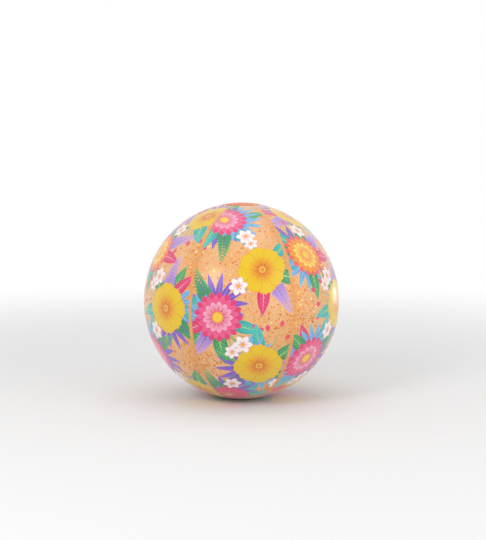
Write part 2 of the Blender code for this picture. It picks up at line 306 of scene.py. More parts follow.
def daisy(at, radius, turn, deep="crimson", bright="hot_pink", pale="pink", tip="pale_pink"):
    """A full daisy of three rings of narrow petals round a yellow eye."""
    made = []
    rings = ((17, 1.0, deep, bright), (17, 0.83, bright, pale), (13, 0.56, deep, tip))
    for ring, (count, share, inner, outer) in enumerate(rings):
        reach = radius * share
        width = 2 * math.pi * reach / count * 0.84
        for i in range(count):
            way = turn + 2 * math.pi * (i + ring / 2) / count
            root = at + 0.12 * radius * heading(way)
            petal = placed(blade(reach * 0.88, width, 1.7, 0.55, steps=9), root, way)
            made.append(ink(petal, at, reach, inner, outer))
            crease = placed(blade(reach * 0.7, width * 0.12, 0.6, steps=4), root, way)
            made.append(ink(crease, at, reach, deep, inner))
    made.append(ink(disc(at, radius * 0.24), at, radius * 0.24, "amber", "orange"))
    made.append(ink(disc(at, radius * 0.165), at, radius * 0.165, "yellow", "light_yellow"))
    made += dots(at, radius * 0.205, radius * 0.023, 17, "light_yellow")
    made += dots(at, radius * 0.09, radius * 0.023, 7, "amber")
    return made


def toothed_petal(radius, half_angle, steps=24):
    """A broad petal with blunt teeth along its end, from the origin along +X."""
    s = np.linspace(-1, 1, steps + 1)
    reach = radius * (1 - 0.22 * s**4 - 0.025 * (1 + np.cos(4 * math.pi * s)))
    rim = np.stack((reach * np.cos(s * half_angle), reach * np.sin(s * half_angle)), 1)
    return np.concatenate((np.zeros((1, 2)), rim))


def cosmos(at, radius, turn, inner="orange", outer="yellow", edge="amber", ray="rust"):
    """An open flower of eight broad toothed petals, each with short rays at its base."""
    made = []
    half_angle = math.pi / 8 * 1.2
    for i in (0, 2, 4, 6, 1, 3, 5, 7):
        way = turn + math.pi / 4 * i
        size = radius * (0.96 if i % 2 else 1.0)
        made.append(ink(placed(toothed_petal(size * 1.025, half_angle * 1.05), at, way), at, radius, ray, edge))
        made.append(ink(placed(toothed_petal(size, half_angle), at, way), at, radius * 0.62, inner, outer))
        for lean, share in ((-0.22, 0.5), (0.0, 0.7), (0.22, 0.5)):
            streak = blade(radius * share, radius * 0.035, 0.5, steps=5)
            made.append(ink(placed(streak, at, way + lean), at, radius * share, ray, edge))
    made.append(ink(disc(at, radius * 0.16), at, radius * 0.16, "rust", "orange"))
    made += dots(at, radius * 0.11, radius * 0.03, 10, "light_yellow")
    made += dots(at, radius * 0.05, radius * 0.026, 5, "yellow")
    return made


def blossom(at, radius, turn):
    """A small white star of six petals with a blush."""
    made = []
    for i in range(6):
        way = turn + math.pi / 3 * i
        under = blade(radius * 1.05, radius * 0.68, 1.25, 0.75, steps=9)
        petal = blade(radius, radius * 0.6, 1.25, 0.75, steps=9)
        made.append(ink(placed(under, at, way), at, radius, "pink", "pale_pink"))
        made.append(ink(placed(petal, at, way), at, radius * 0.5, "pale_pink", "white"))
        made.append(ink(placed(blade(radius * 0.6, radius * 0.06, 0.6, steps=4), at, way), at, radius, "hot_pink"))
    made.append(ink(disc(at, radius * 0.2, 12), at, radius * 0.2, "yellow", "amber"))
    return made


# Print: leaves


def leaf(at, length, turn, bend, dark, light, vein):
    """A lance-shaped leaf with a midrib and paired veins."""
    width = 0.36 * length
    made = [ink(placed(blade(length, width, 0.85, 0.95, bend, 16), at, turn), at, length, dark, light)]
    for i in range(1, 8):
        share = i / 9
        half = width / 2 * math.sin(math.pi * share**0.85) ** 0.95
        root, way = bent(length, bend, share)
        for side in (1, -1):
            line = placed(blade(half * 1.2, length * 0.016, 0.6, steps=4), root, way + side * math.radians(40))
            made.append(ink(placed(line, at, turn), at, length, vein, light))
    made.append(ink(placed(blade(length * 0.97, length * 0.028, 0.5, 1, bend, 10), at, turn), at, length, vein))
    return made


def palm(at, length, turn, bend, dark, light, rib):
    """A fan of nine narrow blades, the longest in the middle."""
    made = []
    for i in (0, 8, 1, 7, 2, 6, 3, 5, 4):
        share = i / 8 - 0.5
        way = turn + math.radians(190) * share
        reach = length * (1 - 0.8 * share**2)
        curl = bend + 0.24 * share
        made.append(ink(placed(blade(reach, length * 0.19, 1.0, 0.85, curl, 12), at, way), at, length, dark, light))
        made.append(ink(placed(blade(reach * 0.9, length * 0.022, 0.5, 1, curl, 7), at, way), at, length, rib, light))
    return made


def fern(at, length, turn, bend, dark, light, stalk):
    """A frond of paired leaflets that shorten towards its tip."""
    made = [ink(placed(blade(length, length * 0.026, 0.5, 1, bend, 10), at, turn), at, length, stalk)]
    for i in range(1, 12):
        root, way = bent(length, bend, 0.08 + 0.08 * i)
        size = length * 0.28 * (1.06 - 0.085 * i) ** 0.6
        for side in (1, -1):
            leaflet = blade(size, size * 0.34, 0.9, 0.8, -0.1 * side, 6)
            out = placed(leaflet, root, way + side * math.radians(60 - 1.5 * i))
            made.append(ink(placed(out, at, turn), at, length, dark, light))
    return made


def spray(at, length, turn, bend, bud, tip, stalk):
    """Thin stalks that fan out and end in buds."""
    made = []
    for i in range(5):
        share = i / 4 - 0.5
        way = turn + 1.15 * share
        reach = length * (1 - 0.3 * abs(share) - 0.14 * (i % 2))
        curl = bend + 0.3 * share
        made.append(ink(placed(blade(reach, length * 0.028, 0.5, 1, curl, 8), at, way), at, length, stalk))
        end, out = bent(reach, curl, 0.97)
        drop = placed(placed(blade(length * 0.2, length * 0.13, 1.3, 0.7, steps=8), end, out), at, way)
        made.append(ink(drop, drop[0], length * 0.2, bud, tip))
    return made


FLOWERS = {
    "daisy": (daisy,),
    "coral_daisy": (daisy, "orange", "coral", "amber", "light_yellow"),
    "cosmos": (cosmos,),
    "pink_cosmos": (cosmos, "crimson", "hot_pink", "crimson", "light_yellow"),
    "blossom": (blossom,),
}
LEAVES = {
    "teal_leaf": (leaf, "deep_teal", "teal", "light_green"),
    "green_leaf": (leaf, "deep_green", "green", "light_green"),
    "pink_leaf": (leaf, "crimson", "hot_pink", "pale_pink"),
    "violet_palm": (palm, "deep_violet", "violet", "lavender"),
    "sky_palm": (palm, "blue", "sky", "white"),
    "fern": (fern, "deep_green", "green", "deep_green"),
    "lilac_fern": (fern, "violet", "lavender", "deep_violet"),
    "spray": (spray, "coral", "hot_pink", "green"),
}
# Leaf kind, angle from the bunch's own direction in degrees, and length.
BUNCHES = {
    "cool": (("violet_palm", -62, 66), ("fern", -28, 84), ("teal_leaf", 4, 80), ("sky_palm", 40, 60), ("green_leaf", 74, 72)),
    "warm": (("pink_leaf", -66, 70), ("lilac_fern", -30, 82), ("green_leaf", 2, 80), ("spray", 34, 74), ("teal_leaf", 66, 72)),
    "small": (("sky_palm", -40, 56), ("green_leaf", -4, 74), ("violet_palm", 36, 58)),
}
LEAF_ROOT = 0.42  # of the flower's radius, from its centre

# Flower kind, place, radius, turn, and its bunches with the direction of each.
GARLAND_A = (
    ("daisy", (-34, 206), 46, 8, (("cool", -60), ("small", 80), ("warm", 170))),
    ("cosmos", (40, 84), 48, 15, (("warm", -20),)),
    ("daisy", (-46, -8), 49, 0, (("cool", 150), ("warm", -88))),
    ("cosmos", (34, -112), 50, 4, (("warm", 24), ("cool", -110), ("small", 165))),
    ("pink_cosmos", (-26, -218), 42, 10, (("cool", 150), ("warm", -60))),
    ("blossom", (8, 158), 18, 5, ()),
    ("blossom", (18, 140), 14, 30, ()),
    ("blossom", (-6, 52), 18, 12, ()),
    ("blossom", (2, -62), 19, 0, ()),
    ("blossom", (-18, -78), 15, 24, ()),
    ("blossom", (-18, -164), 18, 10, ()),
    ("blossom", (70, -170), 17, 40, ()),
)
GARLAND_B = (
    ("cosmos", (26, 216), 44, 8, (("warm", -130), ("small", 60))),
    ("coral_daisy", (-38, 110), 46, 15, (("cool", 190), ("warm", 60))),
    ("cosmos", (44, 2), 50, 2, (("cool", -10), ("warm", 120))),
    ("daisy", (-40, -104), 49, 6, (("warm", 190), ("cool", 60), ("small", -60))),
    ("cosmos", (24, -206), 46, 20, (("cool", -20), ("warm", -120))),
    ("blossom", (-10, 168), 18, 5, ()),
    ("blossom", (8, 62), 18, 22, ()),
    ("blossom", (-10, 46), 14, 0, ()),
    ("blossom", (2, -46), 19, 14, ()),
    ("blossom", (-2, -160), 18, 40, ()),
    ("blossom", (-20, -172), 14, 8, ()),
)


def vine(points, width, steps=14):
    """A smooth ribbon through the points given."""
    p = np.asarray(points, float)
    p = np.concatenate(([2 * p[0] - p[1]], p, [2 * p[-1] - p[-2]]))
    t = np.linspace(0, 1, steps, endpoint=False)[:, None]
    runs = [
        b + ((c - a) * t + (2 * a - 5 * b + 4 * c - d) * t**2 + (3 * b - a - 3 * c + d) * t**3) / 2
        for a, b, c, d in zip(p, p[1:], p[2:], p[3:])
    ]
    line = np.concatenate(runs)
    way = np.gradient(line, axis=0)
    side = width / 2 * np.stack((-way[:, 1], way[:, 0]), 1) / np.linalg.norm(way, axis=1)[:, None]
    return np.concatenate((line - side, (line + side)[::-1]))


def garland(flowers):
    """All the printed patches of a gore, from the lowest to the topmost."""
    large = [f for f in flowers if f[4]]
    made = [ink(vine([f[1] for f in large], 2.0), (0, 0), 1, "green")]
    for _, at, radius, _, bunches in large:
        for name, direction in bunches:
            for kind, lean, length in BUNCHES[name]:
                way = math.radians(direction + lean)
                make, *shades = LEAVES[kind]
                made += make(at + LEAF_ROOT * radius * heading(way), length, way, 0.1 * math.copysign(1, lean), *shades)
    for kind, at, radius, turn, _ in flowers:
        make, *shades = FLOWERS[kind]
        made += make(np.array(at, float), radius, math.radians(turn), *shades)
    return made


# Film: its inflated form


def smooth(x):
    x = np.clip(x, 0, 1)
    return x * x * (3 - 2 * x)


def gore_half(v):
    """Half a gore's width along the film, at a distance v above the equator along its middle line."""
    return GORE_ANGLE / 2 * RADIUS * np.cos(v / RADIUS)


def puckers(seam, v):
    """The uneven small waves that a weld draws into the film along its seam, from -1 to 1."""
    phase = 2.4 * (seam % len(GORE_NAMES))
    wave = np.sin(2 * math.pi * v / PUCKER_PITCH + 2.2 * np.sin(v / 9.1 + phase) + phase)
    return wave * (0.65 + 0.35 * np.sin(v / 13.7 + 1.7 * phase))


def seat_height(x, z):
    """How far the flat seat and ring weld of the valve lift the film along the valve's axis."""
    across = np.minimum(x * x + z * z, 0.8 * RADIUS**2)
    width = 2 * SEAT_RADIUS * SEAT_SOFTNESS
    eased = SEAT_RADIUS**2 + width * np.logaddexp(0, (across - SEAT_RADIUS**2) / width)
    flat = np.sqrt(RADIUS**2 - eased) - np.sqrt(RADIUS**2 - across)
    radius = np.sqrt(across)
    low, high = RING_WELD
    ribs = 0.5 - 0.5 * np.cos(2 * math.pi * (radius - low) / RING_WELD_PITCH)
    return flat + np.where((radius > low) & (radius < high), RING_WELD_HEIGHT * ribs, 0)


def film_points(gore, u, v, lift=0.0):
    """Film points from the gore's flat cut: u east of its middle line and v above the equator."""
    latitude = v / RADIUS
    longitude = FRONT + GORE_ANGLE * gore + u / (RADIUS * np.cos(latitude))
    turns = (longitude - FIRST_SEAM) / GORE_ANGLE
    seam = np.round(turns)
    share = (1 - 2 * np.abs(turns - seam)) ** 2
    gap = np.abs(turns - seam) * 2 * gore_half(v)
    lift = lift + LAP_LIFT * smooth((u - gore_half(v) + LAP_RISE) / LAP_RISE)
    wave = PUCKER_HEIGHT * np.cos(latitude) * np.exp(-((gap / PUCKER_REACH) ** 2)) * puckers(seam, v)
    radius = RADIUS - SEAM_DEPTH * share * np.cos(latitude) ** 2 + wave + lift
    x = radius * np.cos(latitude) * np.cos(longitude)
    y = radius * np.cos(latitude) * np.sin(longitude)
    z = np.maximum(radius * np.sin(latitude), -(PATCH_DROP + lift))
    if gore == VALVE_GORE:
        y = y + seat_height(x, z)
    return np.stack((x, y, z), -1)


def film_normals(gore, u, v):
    """Outward directions of the film, measured over a short step."""
    step = 0.05
    east = film_points(gore, u + step, v) - film_points(gore, u - step, v)
    north = film_points(gore, u, v + step) - film_points(gore, u, v - step)
    out = np.cross(east, north)
    return out / np.linalg.norm(out, axis=1)[:, None]


# Film: a gore's flat cut, with its print, as triangles


def strip(left, right, rows):
    """An outline up the right-hand edge and down the left-hand one."""
    return np.concatenate((np.stack((right, rows), 1), np.stack((left, rows), 1)[::-1]))


def gore_rows():
    """Heights of a gore's rows of mesh points, from tip to tip."""
    return np.linspace(-TIP_REACH, TIP_REACH, int(2 * TIP_REACH / ROW_STEP))


def mesh_points(rows):
    """Plain points that carry the film's curve: close together along the seams and wide apart between them."""
    spots = []
    for i, v in enumerate(rows):
        half = gore_half(v)
        offsets = [d for d in SEAM_OFFSETS if d < half - 1]
        spots += [(side * (half - d), v) for d in offsets for side in (1, -1)]
        if i % 2:
            inner = half - SEAM_OFFSETS[-1] - FIELD_STEP / 2
            count = int(2 * inner / FIELD_STEP)
            spots += [(u, v) for u in np.linspace(-inner, inner, count + 1)] if count > 0 else []
    return np.array(spots)


def clear_points(spots, outlines):
    """The spots that keep clear of the outlines' own points."""
    tree = kdtree.KDTree(len(outlines))
    for i, (x, y) in enumerate(outlines):
        tree.insert((x, y, 0), i)
    tree.balance()
    return [s for s in spots if tree.find((s[0], s[1], 0))[2] > CLEAR_OF_INK]


def gore_sheet(inks, outline, hole=None):
    """Cuts a gore's flat outline into triangles along its print. Each triangle has its topmost patch, or -1."""
    rows = gore_rows()
    half = gore_half(rows)
    printed = rows[np.abs(rows) < PRINT_REACH]
    field = gore_half(printed) - PRINT_MARGIN
    regions = [outline, strip(-field, field, printed)]
    rings = []
    if hole is not None:
        regions += [hole, disc(np.zeros(2), PRINT_KNOCKOUT, VALVE_SECTORS)]
        rings = [disc(np.zeros(2), r, VALVE_SECTORS) for r in np.arange(*RING_WELD, RING_WELD_PITCH / 4)]
    outlines = [*regions, *(patch.outline for patch in inks)]
    plain = clear_points(mesh_points(rows), np.concatenate(outlines[2:])) if outlines[2:] else mesh_points(rows)
    points, edges, faces = [], [], []
    for line in (np.stack((half - LAP_RISE, rows), 1), np.stack((half, rows), 1)):
        edges += [(len(points) + i, len(points) + i + 1) for i in range(len(line) - 1)]
        points += list(line)
    for line in outlines:
        faces.append(list(range(len(points), len(points) + len(line))))
        points += list(line)
    points += [*plain, *(spot for ring in rings for spot in ring)]
    made = delaunay_2d_cdt([Vector(p) for p in points], edges, faces, 1, 1e-4)
    triangles, patches = [], []
    for corners, covers in zip(made[2], made[5]):
        if 0 in covers and not (hole is not None and 2 in covers):
            triangles.append(corners)
            top = max(covers) - len(regions)
            bare = 1 not in covers or (hole is not None and 3 in covers)
            patches.append(-1 if bare or top < 0 else top)
    flat = np.array([tuple(p) for p in made[0]])
    return Sheet(*used_points(flat, np.array(triangles)), np.array(patches))


def front_sheet(inks, holed):
    """A gore's outer face, with its print and, for the valve's gore, its hole."""
    rows = gore_rows()
    half = gore_half(rows)
    outline = strip(EDGE_CLEARANCE - half, half + LAP_WIDTH, rows)
    return gore_sheet(inks, outline, disc(np.zeros(2), FILM_HOLE, VALVE_SECTORS) if holed else None)


def back_sheet(front):
    """A gore's inner face, with no print and the same border as its outer face."""
    following = dict(border_edges(front.triangles).tolist())
    loops = []
    while following:
        loop = [min(following)]
        while loop[-1] in following:
            loop.append(following.pop(loop[-1]))
        loops.append(front.flat[loop[:-1]])
    loops.sort(key=lambda loop: -np.ptp(loop[:, 1]))
    return gore_sheet((), loops[0], loops[1][::-1] if loops[1:] else None)


def used_points(flat, triangles):
    """Turns each triangle the same way round and drops points that no triangle uses."""
    a, b, c = (flat[triangles[:, k]] for k in range(3))
    area = (b[:, 0] - a[:, 0]) * (c[:, 1] - a[:, 1]) - (c[:, 0] - a[:, 0]) * (b[:, 1] - a[:, 1])
    triangles = np.where(area[:, None] < 0, triangles[:, ::-1], triangles)
    keep = np.unique(triangles)
    place = np.zeros(len(flat), int)
    place[keep] = np.arange(len(keep))
    return flat[keep], place[triangles]


def border_edges(triangles):
    """Edges that only one triangle has, in that triangle's direction."""
    sides = np.concatenate([triangles[:, [0, 1]], triangles[:, [1, 2]], triangles[:, [2, 0]]])
    own = {tuple(side) for side in sides.tolist()}
    return np.array(sorted(side for side in own if side[::-1] not in own))


# Film: closed two-sided meshes


def show(name, mesh, finish):
    """A new piece from a finished mesh."""
    mesh.materials.append(finish)
    made = bpy.data.objects.new(name, mesh)
    bpy.context.scene.collection.objects.link(made)
    return made


def to_frame(points):
    """Points about the ball's centre, in millimetres, as points of the frame."""
    return np.asarray(points) * METRE + np.array(CENTRE)


def add_values(mesh, name, values):
    attribute = mesh.attributes.new(name, "FLOAT", "POINT")
    attribute.data.foreach_set("value", np.asarray(values, np.float32))


def add_map(mesh, places):
    """The map that a bake of the finish goes through."""
    layer = mesh.uv_layers.new(name=BAKE_MAP)
    layer.data.foreach_set("uv", np.asarray(places, np.float32).ravel())


def new_mesh(name, points, faces):
    """A mesh from arrays of faces, each array with one number of corners a face."""
    corners = np.concatenate([group.ravel() for group in faces])
    sizes = np.concatenate([np.full(len(group), group.shape[1]) for group in faces])
    mesh = bpy.data.meshes.new(name)
    mesh.vertices.add(len(points))
    mesh.vertices.foreach_set("co", to_frame(points).astype(np.float32).ravel())
    mesh.loops.add(len(corners))
    mesh.loops.foreach_set("vertex_index", corners.astype(np.int32))
    mesh.polygons.add(len(sizes))
    mesh.polygons.foreach_set("loop_start", (np.cumsum(sizes) - sizes).astype(np.int32))
    mesh.update(calc_edges=True)
    return mesh


def matched(flat, other):
    """For each point of one sheet, the place of the same point in another, or -1."""
    places = {spot: i for i, spot in enumerate(map(tuple, np.round(other, 3)))}
    return np.array([places.get(spot, -1) for spot in map(tuple, np.round(flat, 3))])


def film_shell(name, front, back, points, normals, colours=None):
    """A film of its real thickness: the front sheet outside, the back sheet inside and the cut edges between them."""
    count = len(front.flat)
    border = border_edges(front.triangles)
    opposite = count + matched(front.flat, back.flat)
    walls = np.stack((border[:, 1], border[:, 0], opposite[border[:, 0]], opposite[border[:, 1]]), 1)
    inside = back.triangles[:, ::-1]
    spots = np.concatenate((points(*front.flat.T, 0.0), points(*back.flat.T, -FILM)))
    mesh = new_mesh(name, spots, (front.triangles, inside + count, walls))
    sides = np.cross(spots[walls[:, 1]] - spots[walls[:, 0]], spots[walls[:, 3]] - spots[walls[:, 0]])
    sides /= np.linalg.norm(sides, axis=1)[:, None]
    outward, inward = normals(*front.flat.T), -normals(*back.flat.T)
    turned_to = (outward[front.triangles].reshape(-1, 3), inward[inside].reshape(-1, 3), np.repeat(sides, 4, 0))
    mesh.polygons.foreach_set("use_smooth", np.ones(len(mesh.polygons), bool))
    mesh.normals_split_custom_set(np.concatenate(turned_to))
    if colours is not None:
        values = np.zeros((len(mesh.loops), 4), np.float32)
        values[: 3 * len(front.triangles)] = colours.reshape(-1, 4)
        mesh.color_attributes.new("print", "FLOAT_COLOR", "CORNER").data.foreach_set("color", values.ravel())
    front_map, back_map = ((sheet.flat + MAP_CORNER) / MAP_SIZE for sheet in (front, back))
    ends = (np.arange(len(walls))[:, None] + np.array((1, 0, 0, 1))) / len(walls)
    edge_map = np.stack((np.tile(MAP_EDGE, (len(walls), 1)), ends), -1)
    places = (front_map[front.triangles], back_map[inside] + MAP_INNER, edge_map)
    add_map(mesh, np.concatenate([place.reshape(-1, 2) for place in places]))
    return mesh


def print_colours(sheet, inks):
    """The print's colour at each triangle's corners, with 1 for ink and 0 for bare film as the fourth value."""
    centre, reach, low, high = (
        np.array([getattr(patch, name) for patch in inks])[sheet.patches]
        for name in ("centre", "reach", "inner", "outer")
    )
    far = np.linalg.norm(sheet.flat[sheet.triangles] - centre[:, None], axis=2) / reach[:, None]
    share = np.clip(far, 0, 1)[:, :, None]
    colours = np.ones((len(sheet.triangles), 3, 4))
    colours[:, :, :3] = low[:, None] * (1 - share) + high[:, None] * share
    colours[sheet.patches < 0] = 0
    return colours


def make_gores(finish):
    """Makes the gores' films and returns the outer face of each."""
    garlands = garland(GARLAND_A), garland(GARLAND_B)
    pairs = [(front, back_sheet(front)) for front in (front_sheet(inks, False) for inks in garlands)]
    fronts = []
    for gore, name in enumerate(GORE_NAMES):
        inks, (front, back) = garlands[gore % 2], pairs[gore % 2]
        if gore == VALVE_GORE:
            front = front_sheet(inks, True)
            back = back_sheet(front)
        colours = print_colours(front, inks)
        points, normals = partial(film_points, gore), partial(film_normals, gore)
        mesh = film_shell(f"{name}_film", front, back, points, normals, colours)
        u, v = np.concatenate((front.flat, back.flat)).T
        add_values(mesh, "weld", smooth((u - gore_half(v) + 0.6) / 0.6))
        add_values(mesh, "along", v)
        add_values(mesh, "seam", np.exp(-(gore_half(v) - np.abs(u)).clip(0) / SEAM_TINT_REACH))
        made = show(f"{name}_film", mesh, finish)
        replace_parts(made, name)
        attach(made, "ball")
        fronts.append(front)
    return fronts


# Film: the discs over the poles


def cap_points(top, x, y, lift=0.0):
    """Points of a pole disc from its flat cut. It rests on the gores' tips and laps."""
    distance, turn = np.hypot(x, y), np.arctan2(y, x)
    polar = distance / RADIUS
    turns = (turn - FIRST_SEAM) / GORE_ANGLE
    past_seam = (turns - np.round(turns)) * GORE_ANGLE * RADIUS * np.sin(polar)
    on_lap = smooth((past_seam + LAP_RISE + CAP_EASE) / CAP_EASE) * smooth((LAP_WIDTH + CAP_EASE - past_seam) / CAP_EASE)
    on_tips = smooth((distance - TIP_HOLE + 2) / 4)
    share = (1 - 2 * np.abs(turns - np.round(turns))) ** 2
    lift = CAP_LIFT - on_tips * (1 - on_lap) * CAP_SETTLE + lift
    low, high = CAP_WELD
    ribs = 0.5 - 0.5 * np.cos(2 * math.pi * (distance - low) / CAP_WELD_PITCH)
    ridge = np.where((distance > low) & (distance < high), CAP_WELD_HEIGHT * ribs, 0)
    radius = RADIUS + lift + ridge - SEAM_DEPTH * share * np.sin(polar) ** 2
    height = radius * np.cos(polar)
    if not top:
        height = -np.minimum(height, PATCH_DROP + lift)
    across = radius * np.sin(polar)
    return np.stack((across * np.cos(turn), across * np.sin(turn), height), -1)


def cap_normals(top, x, y):
    step = 0.05
    east = cap_points(top, x + step, y) - cap_points(top, x - step, y)
    north = cap_points(top, x, y + step) - cap_points(top, x, y - step)
    out = np.cross(east, north) * (1 if top else -1)
    return out / np.linalg.norm(out, axis=1)[:, None]


def cap_sheet():
    """A flat disc of rings, close together where it is welded."""
    reach = RADIUS * math.asin(CAP_EDGE / (RADIUS + CAP_LIFT))
    low, _ = CAP_WELD
    rings = np.concatenate((np.linspace(0, low, 14)[1:-1], np.arange(low, reach, CAP_WELD_PITCH / 4), [reach]))
    flat = np.concatenate([np.zeros((1, 2)), *(disc(np.zeros(2), r, CAP_SECTORS) for r in rings)])
    here = np.arange(CAP_SECTORS)
    following = np.roll(here, -1)
    belts = [np.stack((np.zeros(CAP_SECTORS, int), here + 1, following + 1), 1)]
    for ring in range(len(rings) - 1):
        a, b = 1 + ring * CAP_SECTORS, 1 + (ring + 1) * CAP_SECTORS
        belts.append(np.stack((here + a, here + b, following + b), 1))
        belts.append(np.stack((here + a, following + b, following + a), 1))
    return Sheet(flat, np.concatenate(belts), None)


def make_caps(finish):
    sheet = cap_sheet()
    for top, name in ((True, "top_pole_cap"), (False, "bottom_pole_cap")):
        faced = sheet if top else sheet._replace(triangles=sheet.triangles[:, ::-1])
        mesh = film_shell(f"{name}_film", faced, faced, partial(cap_points, top), partial(cap_normals, top))
        distance = np.tile(np.linalg.norm(sheet.flat, axis=1), 2)
        add_values(mesh, "weld", smooth((distance - CAP_WELD[0]) / CAP_WELD_PITCH))
        made = show(f"{name}_film", mesh, finish)
        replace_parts(made, name)
        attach(made, "ball")


# Glitter


def flake_mesh(name, at, facing, lean, radius, spin, tone):
    """Six-sided flakes, each a thin closed plate that catches the light along its lean."""
    count = len(at)
    side = np.cross(facing, np.where(np.abs(facing[:, 2:]) < 0.9, (0, 0, 1), (1, 0, 0)))
    side /= np.linalg.norm(side, axis=1)[:, None]
    up = np.cross(facing, side)
    angle = spin[:, None] + np.arange(6) * math.pi / 3
    flat = radius[:, None, None] * np.stack((np.cos(angle), np.sin(angle)), -1)
    rim = at[:, None] + flat[..., :1] * side[:, None] + flat[..., 1:] * up[:, None]
    thick = FLAKE_THICKNESS / 2 * facing[:, None]
    points = np.concatenate((rim + thick, rim - thick), 1).reshape(-1, 3)
    first = 12 * np.arange(count)[:, None]
    sides = [(i, i + 6, (i + 1) % 6 + 6, (i + 1) % 6) for i in range(6)]
    walls = (first[:, None] + np.array(sides)).reshape(-1, 4)
    mesh = new_mesh(name, points, (first + np.arange(6), first + np.arange(11, 5, -1), walls))
    mesh.polygons.foreach_set("use_smooth", np.ones(len(mesh.polygons), bool))
    edges = rim - at[:, None] + np.roll(rim - at[:, None], -1, 1)
    edges /= np.linalg.norm(edges, axis=2)[..., None]
    turned_to = (np.repeat(lean, 6, 0), np.repeat(-lean, 6, 0), np.repeat(edges.reshape(-1, 3), 4, 0))
    mesh.normals_split_custom_set(np.concatenate(turned_to))
    add_values(mesh, "tone", np.repeat(tone, 12))
    columns = math.ceil(math.sqrt(count))
    cell = np.stack((np.arange(count) % columns, np.arange(count) // columns), 1) + 0.5
    spots = ((cell[:, None] + 0.35 * disc(np.zeros(2), 1, 6)) / columns)
    corners = [spots, spots[:, ::-1], spots[:, [k % 6 for side in sides for k in side]]]
    add_map(mesh, np.concatenate([group.reshape(-1, 2) for group in corners]))
    return mesh


def tilted(facing, tilt, chance):
    """Directions leant away from the ones given by up to the tilt, in radians."""
    lean = chance.normal(size=facing.shape)
    lean -= np.sum(lean * facing, axis=1)[:, None] * facing
    lean /= np.linalg.norm(lean, axis=1)[:, None]
    return np.cos(tilt)[:, None] * facing + np.sin(tilt)[:, None] * lean


def flake_sizes(count, chance):
    """Mostly fine flakes and some coarse ones."""
    low, high = FLAKE_RADII
    return low + (high - low) * chance.random(count) ** 1.8


def on_bare_film(front, spots, radius):
    """True for the flakes of a gore's flat cut that touch no print."""
    tree = BVHTree.FromPolygons([(u, v, 0) for u, v in front.flat], front.triangles.tolist())
    rims = spots[:, None] + radius[:, None, None] * disc(np.zeros(2), 1, 5)
    return np.array([all(front.patches[tree.find_nearest((u, v, 0))[2]] < 0 for u, v in rim) for rim in rims])


def make_film_glitter(finish, fronts, chance):
    """Flakes held in the outer skin of bare film, more of them towards the bottom and by the seams, and in the discs."""
    parts = []
    for gore, front in enumerate(fronts):
        height = chance.uniform(-0.95, 0.95, FLAKES_PER_GORE)
        keep = chance.random(FLAKES_PER_GORE) < 1 - 0.45 * smooth((height + 0.6) / 1.5)
        v = RADIUS * np.arcsin(height[keep])
        room = gore_half(v) - PRINT_MARGIN
        by_seam = room - chance.exponential(SEAM_TINT_REACH, len(v))
        near = (chance.random(len(v)) < SEAM_FLAKES) & (by_seam > 0)
        u = np.where(near, np.copysign(by_seam, chance.uniform(-1, 1, len(v))), chance.uniform(-1, 1, len(v)) * room)
        radius = flake_sizes(len(v), chance)
        facing = film_normals(gore, u, v)
        lean = tilted(facing, chance.uniform(0, FLAKE_LEAN, len(v)), chance)
        bare = on_bare_film(front, np.stack((u, v), 1), radius)
        if gore == VALVE_GORE:
            bare &= np.hypot(u, v) > SEAT_RADIUS + 3
        at = film_points(gore, u, v, FLAKE_THICKNESS / 4)
        parts.append([column[bare] for column in (at, facing, lean, radius)])
    for top in (True, False):
        distance, turn = CAP_WELD[0] * np.sqrt(chance.random(CAP_FLAKES)), chance.uniform(0, 2 * math.pi, CAP_FLAKES)
        x, y = distance * np.cos(turn), distance * np.sin(turn)
        facing = cap_normals(top, x, y)
        lean = tilted(facing, chance.uniform(0, FLAKE_LEAN, CAP_FLAKES), chance)
        parts.append([cap_points(top, x, y, FLAKE_THICKNESS / 4), facing, lean, flake_sizes(CAP_FLAKES, chance)])
    at, facing, lean, radius = (np.concatenate(column) for column in zip(*parts))
    spin, tone = chance.uniform(0, 2 * math.pi, len(at)), chance.random(len(at))
    made = show("film_glitter", flake_mesh("film_glitter", at, facing, lean, radius, spin, tone), finish)
    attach(made, "ball")


def make_drift(finish, chance):
    """The loose flakes that lie in the bottom of the ball, thickest in the middle."""
    distance = DRIFT_RADIUS * np.sqrt(chance.random(DRIFT_FLAKES)) * 0.96
    turn = chance.uniform(0, 2 * math.pi, DRIFT_FLAKES)
    radius = flake_sizes(DRIFT_FLAKES, chance)
    tilt = chance.uniform(0, 0.3, DRIFT_FLAKES)
    floor = np.maximum(-np.sqrt((RADIUS - FILM) ** 2 - distance**2), FILM - PATCH_DROP)
    heap = DRIFT_CROWN * (1 - (distance / DRIFT_RADIUS) ** 2) * chance.random(DRIFT_FLAKES)
    height = floor + 0.15 + radius * np.sin(tilt + distance / RADIUS) + heap
    at = np.stack((distance * np.cos(turn), distance * np.sin(turn), height), 1)
    facing = tilted(np.tile((0.0, 0.0, 1.0), (DRIFT_FLAKES, 1)), tilt, chance)
    spin, tone = chance.uniform(0, 2 * math.pi, DRIFT_FLAKES), chance.random(DRIFT_FLAKES)
    made = show("glitter_heap", flake_mesh("glitter_heap", at, facing, facing, radius, spin, tone), finish)
    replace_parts(made, "glitter_drift")
    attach(made, "ball")


# Valve: shapes about its own axis, x across, y down and z outwards from the film's outer face


def valve_place(x, y, z):
    return to_frame((x, SEAT_DISTANCE + z, -y))


